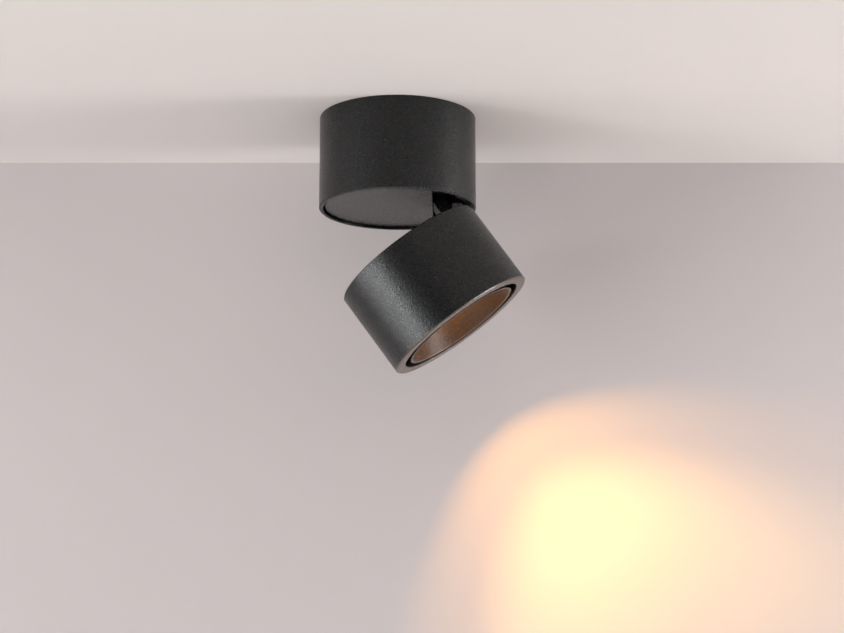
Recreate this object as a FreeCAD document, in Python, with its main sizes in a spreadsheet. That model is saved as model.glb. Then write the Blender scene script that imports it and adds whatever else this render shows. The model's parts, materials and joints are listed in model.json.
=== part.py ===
"""Surface mounted ceiling spotlight: a round can screwed to the ceiling, a swivel tray inside
its mouth, and a lamp head of the same diameter that folds out on one hinge at the tray's edge.

Frame: millimetres, +Z up.  The origin is the middle of the ceiling face of the can, so the
whole lamp hangs below z = 0.  The hinge is on the +X side and the head swings in the XZ plane.
The head is drawn closed, with its rear face at z = 0 of its own frame, and is then placed at
the rest tilt.
"""
import FreeCAD, Part
import math
import os
import re

import Sketcher

V = FreeCAD.Vector
doc = FreeCAD.newDocument("SurfaceSpotlight")

# ---------------------------------------------------------------- driving dimensions

DRIVING = {
    # can on the ceiling
    "canRadius": 50, "canHeight": 60, "canWall": 2.5, "canEdge": 0.6,
    "bossInner": 40, "bossHalf": 4, "bossTop": 20,
    "sideScrewDrop": 10, "sideScrewRadius": 2, "sideHeadRadius": 3.6,
    # ceiling bracket
    "bracketReach": 46.3, "bracketHalf": 8, "bracketPlate": 2, "tabDrop": 18,
    "slotAt": 30, "slotHalf": 3.75, "slotRadius": 2.25, "cableRadius": 4.5, "grommetRadius": 7,
    # bridge across the can that carries the swivel
    "bridgeTop": 32, "bridgePlate": 2, "bridgeRadius": 47, "bridgeScrewAt": 44, "stopAt": 34,
    # driver and terminals
    "driverHalf": 28, "driverNear": 9.5, "driverFar": 32, "driverTop": 12, "driverLid": 2,
    "terminalHalf": 15, "terminalNear": 20, "terminalFar": 32, "terminalTop": 20,
    # swivel tray
    "trayRadius": 46.3, "trayRecess": 1.5, "trayFloor": 2, "trayWall": 2, "traySkirt": 8,
    "chordAt": 22.4, "pocketDepth": 17, "pocketRoof": 2, "trayEdge": 0.4,
    # swivel stem
    "stemRadius": 5, "stemBore": 3.5, "stemTop": 24, "stemFoot": 11, "stemCollar": 8,
    "washerRadius": 8.5, "washerThick": 0.5, "waveThick": 0.6, "nutRadius": 8.2, "nutHeight": 5,
    # hinge
    "pivotOut": 46.8, "pivotDrop": 4.75, "knuckleRadius": 2.5, "pinRadius": 1.25,
    "pinPlay": 0.05, "pinHalf": 10, "earHalf": 5.5, "earBack": 34.8, "earFront": 43.8,
    "earFoot": 2.6, "seatPlay": 0.04, "notchHalf": 6, "notchStart": 42.6, "notchDepth": 6.6,
    "tiltAngle": 35.7, "closedGap": 1,
    # lead shroud on the back of the head
    "shroudStart": 31.2, "shroudEnd": 39.2, "shroudHalf": 10, "shroudHeight": 15.65,
    "shroudWall": 2, "shroudFloor": 2.4,
    # head
    "headRadius": 50, "headLength": 58, "headWall": 3, "headBack": 3, "headEdge": 0.7,
    "lipInner": 43, "lipThick": 3, "hingeBossStart": 40, "hingeBossHalf": 14, "hingeBossDepth": 9,
    "lugInner": 37.5, "lugHalf": 4, "lugDepth": 43,
    # heat sink and light source
    "sinkRadius": 46.5, "sinkFace": 17, "sinkBase": 3, "finInner": 10, "finOuter": 37,
    "finHalf": 0.6, "padRadius": 14, "padThick": 0.5, "boardHalf": 9.5, "boardThick": 1.1,
    "chipRadius": 7.25, "chipThick": 0.5, "holderRadius": 22.5, "holderHeight": 4,
    "holderMouth": 9.6,
    # reflector and the ring that holds it
    "mouthRadius": 38.9, "throatRadius": 12.3, "reflectorWall": 1.3, "mouthRecess": 0.3,
    "flangeRadius": 40, "flangeAt": 49, "flangeThick": 1.2, "ringInner": 36.8, "ringOuter": 46.6,
    "ringThick": 1.5, "ringScrewAt": 42.3,
}

sheet = doc.addObject("Spreadsheet::Sheet", "Sizes")
for row, (alias, size) in enumerate(DRIVING.items(), start=1):
    sheet.set("A%d" % row, alias)
    sheet.set("B%d" % row, str(size))
    sheet.setAlias("B%d" % row, alias)
doc.recompute()

# ---------------------------------------------------------------- small tools of this model


def bound(text):
    """The same expression with each size name pointed at the sheet."""
    def cell(match):
        word = match.group()
        return "Sizes." + word if word in DRIVING else word
    return re.sub(r"[A-Za-z]\w*", cell, str(text))


def number(text):
    """The expression's value now, for the first guess of a sketch point."""
    return float(sheet.evalExpression(bound(text)))


def body(label):
    made = doc.addObject("PartDesign::Body", label)
    made.Label = label
    return made


def plane(owner, role):
    return [item for item in owner.Origin.OriginFeatures if item.Role == role][0]


def polygon(sketch, points):
    """Straight edges through the points, each point held by two distances from the origin."""
    first = sketch.GeometryCount
    places = [V(number(x), number(y), 0) for x, y in points]
    for index, place in enumerate(places):
        following = places[(index + 1) % len(places)]
        sketch.addGeometry(Part.LineSegment(place, following), False)
    for index, (x, y) in enumerate(points):
        edge = first + index
        following = first + (index + 1) % len(points)
        sketch.addConstraint(Sketcher.Constraint("Coincident", edge, 2, following, 1))
        for kind, text in (("DistanceX", x), ("DistanceY", y)):
            held = sketch.addConstraint(Sketcher.Constraint(kind, edge, 1, number(text)))
            sketch.setExpression("Constraints[%d]" % held, bound(text))


def circle(sketch, x, y, radius):
    place = V(number(x), number(y), 0)
    made = sketch.addGeometry(Part.Circle(place, V(0, 0, 1), number(radius)), False)
    for kind, text in (("DistanceX", x), ("DistanceY", y)):
        held = sketch.addConstraint(Sketcher.Constraint(kind, made, 3, number(text)))
        sketch.setExpression("Constraints[%d]" % held, bound(text))
    held = sketch.addConstraint(Sketcher.Constraint("Radius", made, number(radius)))
    sketch.setExpression("Constraints[%d]" % held, bound(radius))


def disc_segment(sketch, radius, chord):
    """The part of a disc round the origin that lies beyond the upright chord x = chord."""
    size, at = number(radius), number(chord)
    half = math.acos(at / size)
    arc = Part.ArcOfCircle(Part.Circle(V(0, 0, 0), V(0, 0, 1), size), -half, half)
    bow = sketch.addGeometry(arc, False)
    side = math.sqrt(size * size - at * at)
    string = sketch.addGeometry(Part.LineSegment(V(at, side, 0), V(at, -side, 0)), False)
    sketch.addConstraint(Sketcher.Constraint("Coincident", bow, 3, -1, 1))
    sketch.addConstraint(Sketcher.Constraint("Coincident", string, 1, bow, 2))
    sketch.addConstraint(Sketcher.Constraint("Coincident", string, 2, bow, 1))
    sketch.addConstraint(Sketcher.Constraint("Vertical", string))
    held = sketch.addConstraint(Sketcher.Constraint("Radius", bow, size))
    sketch.setExpression("Constraints[%d]" % held, bound(radius))
    held = sketch.addConstraint(Sketcher.Constraint("DistanceX", string, 1, at))
    sketch.setExpression("Constraints[%d]" % held, bound(chord))


def sketched(owner, name, loops, level="0", role="XY_Plane"):
    """A sketch on one of the body's origin planes, lifted to the level along its normal.

    A loop is a list of points, a tuple (x, y, radius) for a circle, or ("segment", radius,
    chord) for the part of a disc beyond a chord.
    """
    sketch = owner.newObject("Sketcher::SketchObject", name)
    sketch.AttachmentSupport = [(plane(owner, role), "")]
    sketch.MapMode = "FlatFace"
    sketch.setExpression("AttachmentOffset.Base.z", bound(level))
    for loop in loops:
        if isinstance(loop, list):
            polygon(sketch, loop)
        elif loop[0] == "segment":
            disc_segment(sketch, loop[1], loop[2])
        else:
            circle(sketch, *loop)
    return sketch


def pad(owner, name, loops, low, high, role="XY_Plane"):
    """Adds the outline's prism from the low to the high level along the plane's normal."""
    made = owner.newObject("PartDesign::Pad", name)
    made.Profile = sketched(owner, name + "_outline", loops, low, role)
    made.setExpression("Length", bound("(%s) - (%s)" % (high, low)))
    return made


def pocket(owner, name, loops, low, high, role="XY_Plane"):
    """Cuts the outline's prism from the high down to the low level."""
    made = owner.newObject("PartDesign::Pocket", name)
    made.Profile = sketched(owner, name + "_outline", loops, high, role)
    made.setExpression("Length", bound("(%s) - (%s)" % (high, low)))
    return made


def turned(owner, name, loops, kind="PartDesign::Revolution"):
    """Turns a half section in the XZ plane about the Z axis."""
    made = owner.newObject(kind, name)
    sketch = sketched(owner, name + "_section", loops, "0", "XZ_Plane")
    made.Profile = sketch
    made.ReferenceAxis = (sketch, ["V_Axis"])
    made.Angle = 360
    return made


def ring_pattern(owner, name, originals, count, angle=360):
    """Repeats features about the Z axis; the body's tip moves to the pattern."""
    made = owner.newObject("PartDesign::PolarPattern", name)
    made.Originals = originals
    made.Axis = (plane(owner, "Z_Axis"), [""])
    made.Angle = angle
    made.Occurrences = count
    owner.Tip = made
    return made


def eased(owner, name, radius, wanted, kind="PartDesign::Fillet"):
    """Rounds, or bevels, the edges of the body's tip that the test picks."""
    doc.recompute()
    base = owner.Tip
    names = ["Edge%d" % index for index, edge in enumerate(base.Shape.Edges, start=1)
             if wanted(edge)]
    if not names:
        raise RuntimeError("%s eases no edge" % name)
    made = owner.newObject(kind, name)
    made.Base = (base, names)
    made.setExpression("Radius" if kind.endswith("Fillet") else "Size", bound(radius))
    return made


def bevelled(owner, name, size, wanted):
    """The small turned bevel that a machined or cast rim is left with."""
    return eased(owner, name, size, wanted, "PartDesign::Chamfer")


def is_hoop(edge, radius, level):
    """True for a circle about the Z axis with this radius at this level."""
    box = edge.BoundBox
    near = abs(box.XMax - radius) < 0.01 or abs(box.XMin + radius) < 0.01
    return (near and box.ZLength < 0.001 and abs(box.ZMax - level) < 0.01
            and isinstance(edge.Curve, Part.Circle) and abs(edge.Curve.Radius - radius) < 0.01)


def box_loop(left, right, near, far):
    """The four corners of a rectangle."""
    return [(left, near), (right, near), (right, far), (left, far)]


def rod(name, radius, length, x, y, z, axis=V(0, 0, 1)):
    """A cylinder from the place (x, y, z) along the axis, bound to the sheet."""
    made = doc.addObject("Part::Cylinder", name)
    made.Placement = FreeCAD.Placement(V(0, 0, 0), FreeCAD.Rotation(V(0, 0, 1), axis))
    made.setExpression("Radius", bound(radius))
    made.setExpression("Height", bound(length))
    for letter, text in zip("xyz", (x, y, z)):
        made.setExpression("Placement.Base." + letter, bound(text))
    return made


def joined(name, parts):
    made = doc.addObject("Part::MultiFuse", name)
    made.Shapes = parts
    return made


def group(label, parts):
    """Several separate solids of one kind under one label."""
    made = doc.addObject("Part::Compound", label)
    made.Label = label
    made.Links = parts
    return made


def cap_screws(label, places, head_radius, head_height, shank_radius, shank_length, down=False):
    """Hexagon socket cap screws at (x, y, z of the seat); the head is above its seat,
    or below it for screws that are driven upwards."""
    sign = "-" if down else ""
    made = []
    for index, (x, y, seat) in enumerate(places):
        tag = "%s_%d" % (label, index)
        up = V(0, 0, -1) if down else V(0, 0, 1)
        head = rod(tag + "_head", head_radius, head_height, x, y, seat, up)
        shank = rod(tag + "_shank", shank_radius, shank_length, x, y, seat, up * -1)
        socket = doc.addObject("Part::Prism", tag + "_socket")
        socket.Polygon = 6
        socket.Placement = FreeCAD.Placement(V(0, 0, 0), FreeCAD.Rotation(V(0, 0, 1), up))
        socket.setExpression("Circumradius", bound("(%s) * 0.55" % head_radius))
        socket.setExpression("Height", bound("(%s) * 0.7" % head_height))
        socket.setExpression("Placement.Base.x", bound(x))
        socket.setExpression("Placement.Base.y", bound(y))
        socket.setExpression("Placement.Base.z",
                             bound("(%s) + %s(%s) * 0.45" % (seat, sign, head_height)))
        whole = joined(tag + "_blank", [head, shank])
        screw = doc.addObject("Part::Cut", tag)
        screw.Base = whole
        screw.Tool = socket
        made.append(screw)
    return group(label, made)


NODES = []


def keep(node, owner=None):
    """Lists a finished sub-part, and puts a piece of the head at the rest tilt."""
    if owner == "head":
        seat_head(node)
    NODES.append(node)
    return node


def seat_head(node):
    """Turns the closed head about the hinge pin by the rest tilt."""
    node.Placement = FreeCAD.Placement(V(0, 0, 0), FreeCAD.Rotation(V(0, -1, 0), 1))
    inner = "pivotDrop - closedGap"
    across = "pivotOut - (pivotOut * cos(tiltAngle) + (%s) * sin(tiltAngle))" % inner
    height = "-canHeight - pivotDrop - (pivotOut * sin(tiltAngle) - (%s) * cos(tiltAngle))" % inner
    node.setExpression("Placement.Rotation.Angle", bound("tiltAngle"))
    node.setExpression("Placement.Base.x", degrees(across))
    node.setExpression("Placement.Base.z", degrees(height))


def degrees(text):
    """The sheet's tilt is a plain number, so it gets its unit inside sin and cos."""
    return bound(text).replace("(Sizes.tiltAngle)", "(Sizes.tiltAngle * 1 deg)")


# ---------------------------------------------------------------- can on the ceiling


def canopy_shell():
    shell = body("canopy_shell")
    turned(shell, "can_wall", [[
        ("canRadius - canWall", "0"), ("canRadius", "0"),
        ("canRadius", "-canHeight"), ("canRadius - canWall", "-canHeight")]])
    boss = pad(shell, "bridge_boss",
               [box_loop("bossInner", "canRadius - canWall / 2", "-bossHalf", "bossHalf")],
               "-bridgeTop", "-bossTop")
    bore = pocket(shell, "bridge_boss_bore", [("bridgeScrewAt", "0", "1.5")],
                  "-bridgeTop", "-bossTop - 3")
    ring_pattern(shell, "bridge_bosses", [boss, bore], 3)
    for side, name in (("", "right"), ("-", "left")):
        low, high = ("canRadius - 6", "canRadius + 2")
        if side:
            low, high = ("-canRadius - 2", "-canRadius + 6")
        pocket(shell, "side_hole_" + name, [("0", "-sideScrewDrop", "sideScrewRadius + 0.2")],
               low, high, "YZ_Plane")
        low, high = ("canRadius - 1", "canRadius + 2")
        if side:
            low, high = ("-canRadius - 2", "-canRadius + 1")
        pocket(shell, "side_seat_" + name, [("0", "-sideScrewDrop", "sideHeadRadius + 0.15")],
               low, high, "YZ_Plane")
    bevelled(shell, "can_edge", "canEdge",
            lambda edge: is_hoop(edge, DRIVING["canRadius"], -DRIVING["canHeight"]))
    return keep(shell)


def side_screws():
    """Two low flat heads sunk into the can's wall, threaded into the bracket's tabs."""
    made = []
    for side, axis in (("", V(1, 0, 0)), ("-", V(-1, 0, 0))):
        tag = "side_screw_" + ("left" if side else "right")
        head = rod(tag + "_head", "sideHeadRadius", "0.9",
                   side + "(canRadius - 1)", "0", "-sideScrewDrop", axis)
        shank = rod(tag + "_shank", "sideScrewRadius - seatPlay", "6.5",
                    side + "(canRadius - 7.5)", "0", "-sideScrewDrop", axis)
        socket = rod(tag + "_socket", "1.2", "1.5",
                     side + "(canRadius - 0.7)", "0", "-sideScrewDrop", axis)
        screw = doc.addObject("Part::Cut", tag)
        screw.Base = joined(tag + "_blank", [head, shank])
        screw.Tool = socket
        made.append(screw)
    return keep(group("side_screws", made))


def mounting_bracket():
    bracket = body("mounting_bracket")
    pad(bracket, "strap", [box_loop("-bracketReach", "bracketReach", "-bracketHalf", "bracketHalf")],
        "-bracketPlate", "0")
    pad(bracket, "tabs", [
        box_loop("bracketReach - bracketPlate", "bracketReach", "-bracketHalf", "bracketHalf"),
        box_loop("-bracketReach", "bracketPlate - bracketReach", "-bracketHalf", "bracketHalf")],
        "-tabDrop", "-bracketPlate")
    ends = []
    for middle in ("slotAt", "-slotAt"):
        for shift in ("slotHalf", "-slotHalf"):
            ends.append(("%s + %s" % (middle, shift), "0", "slotRadius"))
    pocket(bracket, "slot_ends", ends, "-bracketPlate", "0")
    pocket(bracket, "slots", [
        box_loop("slotAt - slotHalf", "slotAt + slotHalf", "-slotRadius", "slotRadius"),
        box_loop("-slotAt - slotHalf", "slotHalf - slotAt", "-slotRadius", "slotRadius")],
        "-bracketPlate", "0")
    pocket(bracket, "cable_hole", [("0", "0", "grommetRadius")], "-bracketPlate", "0")
    for name, low, high in (("right", "bracketReach - bracketPlate - 1", "bracketReach + 1"),
                            ("left", "-bracketReach - 1", "bracketPlate - bracketReach + 1")):
        pocket(bracket, "tab_thread_" + name, [("0", "-sideScrewDrop", "sideScrewRadius")],
               low, high, "YZ_Plane")
    return keep(bracket)


def cable_grommet():
    grommet = body("cable_grommet")
    turned(grommet, "grommet_section", [[
        ("cableRadius", "0"), ("grommetRadius - seatPlay", "0"),
        ("grommetRadius - seatPlay", "-bracketPlate"),
        ("grommetRadius + 2", "-bracketPlate"), ("grommetRadius + 2", "-bracketPlate - 1.5"),
        ("cableRadius + 1.2", "-bracketPlate - 6"), ("cableRadius", "-bracketPlate - 6")]])
    return keep(grommet)


def bridge_plate():
    plate = body("bridge_plate")
    top, low = "-bridgeTop", "-bridgeTop - bridgePlate"
    pad(plate, "bridge_disc", [("0", "0", "bridgeRadius")], low, top)
    pocket(plate, "stem_bore", [("0", "0", "stemRadius + pinPlay")], low, top)
    screw_hole = pocket(plate, "bridge_screw_hole", [("bridgeScrewAt", "0", "1.6")], low, top)
    ring_pattern(plate, "bridge_screw_holes", [screw_hole], 3)
    pocket(plate, "stop_pin_hole", [("-stopAt", "0", "1.3")], low, top)
    pocket(plate, "wire_gates", [("-22", "-22", "4"), ("22", "-22", "4")], low, top)
    pocket(plate, "driver_threads", [
        ("driverHalf + 4", "(driverNear + driverFar) / 2", "1.25"),
        ("-driverHalf - 4", "(driverNear + driverFar) / 2", "1.25")], low, top)
    return keep(plate)


def bridge_screws():
    places = []
    for turn in (0, 120, 240):
        places.append(("bridgeScrewAt * cos(%d deg)" % turn,
                       "bridgeScrewAt * sin(%d deg)" % turn,
                       "-bridgeTop - bridgePlate"))
    return keep(cap_screws("bridge_screws", places, "2.6", "2.2", "1.5", "bridgePlate + 8", True))


def pan_stop_pin():
    pin = rod("pan_stop_pin", "1.3", "bridgePlate + 3.5", "-stopAt", "0",
              "-bridgeTop - bridgePlate - 3.5")
    pin.Label = "pan_stop_pin"
    return keep(pin)


def driver():
    middle = "(driverNear + driverFar) / 2"
    case = body("driver_case")
    pad(case, "driver_box", [box_loop("-driverHalf", "driverHalf", "driverNear", "driverFar")],
        "-bridgeTop", "-driverTop - driverLid")
    pad(case, "driver_feet", [
        box_loop("-driverHalf - 8", "driverHalf + 8", middle + " - 4", middle + " + 4")],
        "-bridgeTop", "-bridgeTop + 2")
    pocket(case, "driver_foot_holes", [
        ("driverHalf + 4", middle, "1.5"), ("-driverHalf - 4", middle, "1.5")],
        "-bridgeTop", "-bridgeTop + 2")
    eased(case, "driver_corners", "1.5", lambda edge: edge.Length > 15
            and edge.BoundBox.ZLength > 15)
    keep(case)

    lid = body("driver_lid")
    pad(lid, "lid_plate", [box_loop("-driverHalf", "driverHalf", "driverNear", "driverFar")],
        "-driverTop - driverLid", "-driverTop")
    eased(lid, "lid_corners", "1.5", lambda edge: abs(edge.BoundBox.ZLength - 2) < 0.01)
    pocket(lid, "lid_wire_slots", [
        box_loop("-driverHalf", "-driverHalf + 3", middle + " - 4", middle + " + 4"),
        box_loop("driverHalf - 3", "driverHalf", middle + " - 4", middle + " + 4")],
        "-driverTop - driverLid", "-driverTop")
    keep(lid)

    seat = "-bridgeTop + 2"
    places = [("driverHalf + 4", middle, seat), ("-driverHalf - 4", middle, seat)]
    keep(cap_screws("driver_screws", places, "2.4", "1.8", "1.25", "2 + bridgePlate"))


def terminal_block():
    block = body("terminal_block")
    pad(block, "terminal_base", [
        box_loop("-terminalHalf", "terminalHalf", "-terminalFar", "-terminalNear")],
        "-bridgeTop", "-terminalTop - 3")
    towers = []
    wells = []
    for step in (-1, 0, 1):
        middle = "%d * terminalHalf * 2 / 3" % step
        towers.append(box_loop(middle + " - 4.2", middle + " + 4.2",
                               "-terminalFar", "-terminalNear"))
        for row in ("-terminalFar + 3", "-terminalNear - 3"):
            wells.append((middle, row, "2"))
    pad(block, "terminal_towers", towers, "-terminalTop - 3", "-terminalTop")
    pocket(block, "terminal_wells", wells, "-terminalTop - 5", "-terminalTop")
    mouths = [("%d * terminalHalf * 2 / 3" % step, "-bridgeTop + 4", "1.7") for step in (-1, 0, 1)]
    pocket(block, "wire_mouths_near", mouths, "terminalFar - 4", "terminalFar + 1", "XZ_Plane")
    pocket(block, "wire_mouths_far", mouths, "terminalNear - 1", "terminalNear + 4", "XZ_Plane")
    keep(block)

    screws = []
    for step in (-1, 0, 1):
        for row in ("-terminalFar + 3", "-terminalNear - 3"):
            tag = "terminal_screw_%d_%d" % (step + 1, len(screws))
            screws.append(rod(tag, "1.8", "3.5", "%d * terminalHalf * 2 / 3" % step, row,
                              "-terminalTop - 5"))
    keep(group("terminal_screws", screws))


# ---------------------------------------------------------------- swivel tray and its stem


def rotor_tray():
    """The die cast tray in the can's mouth: a flat face cut off by a chord, a skirt all
    round, and beyond the chord a roofed pocket that the folded shroud stands in."""
    tray = body("rotor_tray")
    face = "-canHeight + trayRecess"
    floor = face + " + trayFloor"
    roof = "-canHeight + pocketDepth"
    turned(tray, "tray_dish", [[
        ("0", face), ("trayRadius", face), ("trayRadius", face + " + traySkirt"),
        ("trayRadius - trayWall", face + " + traySkirt"), ("trayRadius - trayWall", floor),
        ("0", floor)]])
    pad(tray, "pocket_block", [("segment", "trayRadius", "chordAt - trayWall")],
        face, roof + " + pocketRoof")
    pocket(tray, "pocket_space", [("segment", "trayRadius - trayWall", "chordAt")], face, roof)
    pad(tray, "stem_boss", [("0", "0", "stemFoot + 1")], floor, floor + " + 2.5")
    pad(tray, "stop_lug", [box_loop("stopAt - 1.5", "stopAt + 1.5", "-1.2", "1.2")],
        roof + " + pocketRoof", roof + " + pocketRoof + 5.5")
    pocket(tray, "ear_screw_holes", [("39.4", "3.2", "1.6"), ("39.4", "-3.2", "1.6")],
           roof, roof + " + pocketRoof")
    stem_hole = pocket(tray, "stem_screw_hole", [("8.2", "0", "1")], floor, floor + " + 2.5")
    ring_pattern(tray, "stem_screw_holes", [stem_hole], 3)
    pocket(tray, "lead_gate", [("-14", "-canHeight + 11.5", "4")],
           "chordAt - trayWall - 1", "chordAt + 1", "YZ_Plane")
    bevelled(tray, "tray_edge", "trayEdge",
            lambda edge: is_hoop(edge, DRIVING["trayRadius"],
                                 DRIVING["trayRecess"] - DRIVING["canHeight"]))
    return keep(tray)


def lead_grommet():
    """Rubber ring in the pocket's chord wall, where the lamp lead comes through."""
    grommet = body("lead_grommet")
    middle = ("-14", "-canHeight + 11.5")
    pad(grommet, "grommet_neck", [middle + ("4 - 2 * seatPlay",), middle + ("2.5",)],
        "chordAt - trayWall", "chordAt", "YZ_Plane")
    for name, low in (("inner", "chordAt - trayWall - 1"), ("outer", "chordAt")):
        pad(grommet, "grommet_flange_" + name, [middle + ("5.2",), middle + ("2.5",)],
            low, low + " + 1", "YZ_Plane")
    return keep(grommet)


def swivel_stem():
    stem = body("swivel_stem")
    foot = "-canHeight + trayRecess + trayFloor + 2.5"
    collar = "-bridgeTop - bridgePlate - washerThick"
    turned(stem, "stem_section", [[
        ("stemBore", foot), ("stemFoot", foot), ("stemFoot", foot + " + 2"),
        ("stemRadius", foot + " + 2"), ("stemRadius", collar + " - 2.5"),
        ("stemCollar", collar + " - 2.5"), ("stemCollar", collar), ("stemRadius", collar),
        ("stemRadius", "-stemTop"), ("stemBore", "-stemTop")]])
    pocket(stem, "lead_window", [("0", foot + " + 8", "2.6")], "0", "stemRadius + 1", "YZ_Plane")
    hole = pocket(stem, "foot_hole", [("8.2", "0", "1")], foot, foot + " + 2")
    ring_pattern(stem, "foot_holes", [hole], 3)
    keep(stem)

    places = []
    for turn in (0, 120, 240):
        places.append(("8.2 * cos(%d deg)" % turn, "8.2 * sin(%d deg)" % turn, foot + " + 2"))
    return keep(cap_screws("stem_screws", places, "1.8", "1.4", "1", "4"))


def swivel_stack():
    """Washers and nut that clamp the bridge plate against the stem's collar."""
    bridge = "-bridgeTop"
    under = "-bridgeTop - bridgePlate - washerThick"
    glide = body("glide_washers")
    rings = [("0", "0", "washerRadius"), ("0", "0", "stemRadius")]
    pad(glide, "lower_glide", rings, under, under + " + washerThick")
    pad(glide, "upper_glide", rings, bridge, bridge + " + washerThick")
    keep(glide)
    wave = body("wave_washer")
    pad(wave, "wave_ring", [("0", "0", "washerRadius - 0.5"), ("0", "0", "stemRadius")],
        bridge + " + washerThick", bridge + " + washerThick + waveThick")
    keep(wave)
    base = bridge + " + washerThick + waveThick"
    blank = doc.addObject("Part::Prism", "lock_nut_blank")
    blank.Polygon = 6
    blank.setExpression("Circumradius", bound("nutRadius"))
    blank.setExpression("Height", bound("nutHeight"))
    blank.setExpression("Placement.Base.z", bound(base))
    bore = rod("lock_nut_bore", "stemRadius", "nutHeight + 2", "0", "0", base + " - 1")
    nut = doc.addObject("Part::Cut", "lock_nut")
    nut.Label = "lock_nut"
    nut.Base = blank
    nut.Tool = bore
    keep(nut)


# ---------------------------------------------------------------- hinge


def hinge_ear():
    """Cast ear that hangs from the pocket's roof, bends out under the tray's skirt and ends
    in the hinge knuckle just below the can's rim."""
    ear = body("hinge_ear")
    rim = "-canHeight"
    knuckle = ("pivotOut", rim + " - pivotDrop")
    outline = [
        ("earBack", rim + " + earFoot"), ("earFront - 2.5", rim + " + earFoot"),
        ("earFront - 2.5", rim + " + 0.2"), ("notchStart + 0.4", rim + " - 0.6"),
        ("pivotOut - 2.3", rim + " - pivotDrop + 0.5"), knuckle,
        ("pivotOut + 1.65", rim + " - pivotDrop + 1.65"), ("trayRadius - 0.1", rim + " - 0.5"),
        ("trayRadius - 0.1", rim + " + 1.2"), ("earFront", rim + " + 1.2"),
        ("earFront", rim + " + pocketDepth"), ("earBack", rim + " + pocketDepth")]
    pad(ear, "ear_web", [outline], "-earHalf", "earHalf", "XZ_Plane")
    pad(ear, "ear_knuckle", [knuckle + ("knuckleRadius",)], "-earHalf", "earHalf", "XZ_Plane")
    pocket(ear, "pin_bore", [knuckle + ("pinRadius + pinPlay",)], "-earHalf", "earHalf",
           "XZ_Plane")
    pocket(ear, "ear_threads", [("39.4", "3.2", "1.5"), ("39.4", "-3.2", "1.5")],
           rim + " + pocketDepth - 9", rim + " + pocketDepth")
    keep(ear)
    seat = "-canHeight + pocketDepth + pocketRoof"
    places = [("39.4", "3.2", seat), ("39.4", "-3.2", seat)]
    keep(cap_screws("ear_screws", places, "2.5", "2", "1.5", "pocketRoof + 8"))


def hinge_pin():
    """The pin through the ear, and the plug that closes its drilling in the head."""
    pivot = ("pivotOut", "closedGap - pivotDrop")
    pin = body("hinge_pin")
    pad(pin, "pin_rod", [pivot + ("pinRadius",)], "-pinHalf", "pinHalf", "XZ_Plane")
    keep(pin, "head")
    plug = body("pin_plug")
    pad(plug, "plug_rod", [pivot + ("pinRadius",)], "-pinHalf - 5.8", "-pinHalf", "XZ_Plane")
    keep(plug, "head")
    washers = body("hinge_washers")
    ring = [pivot + ("knuckleRadius - 0.1",), pivot + ("pinRadius",)]
    pad(washers, "near_washer", ring, "earHalf + 0.05", "notchHalf", "XZ_Plane")
    pad(washers, "far_washer", ring, "-notchHalf", "-earHalf - 0.05", "XZ_Plane")
    keep(washers, "head")


def lead_shroud():
    """U shaped duct on the head's back that guides the lead past the hinge."""
    shroud = body("lead_shroud")
    pad(shroud, "shroud_block", [box_loop("shroudStart", "shroudEnd", "-shroudHalf", "shroudHalf")],
        "0", "shroudHeight")
    pocket(shroud, "shroud_channel", [
        box_loop("shroudStart + shroudWall", "shroudEnd + 1",
                 "shroudWall - shroudHalf", "shroudHalf - shroudWall")],
        "shroudFloor", "shroudHeight")
    pocket(shroud, "lead_hole", [("36.2", "0", "2.5")], "0", "shroudFloor")
    pocket(shroud, "shroud_threads", [("36.2", "5.4", "1"), ("36.2", "-5.4", "1")],
           "0", "shroudFloor")
    eased(shroud, "shroud_crest", "0.3", lambda edge: edge.BoundBox.YLength > 19
            and edge.BoundBox.ZMin > 15 and edge.BoundBox.XMax < 31.3)
    keep(shroud, "head")
    places = [("36.2", "5.4", "-headBack"), ("36.2", "-5.4", "-headBack")]
    keep(cap_screws("shroud_screws", places, "1.8", "1.3", "1", "headBack + shroudFloor", True),
         "head")


# ---------------------------------------------------------------- head


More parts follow.
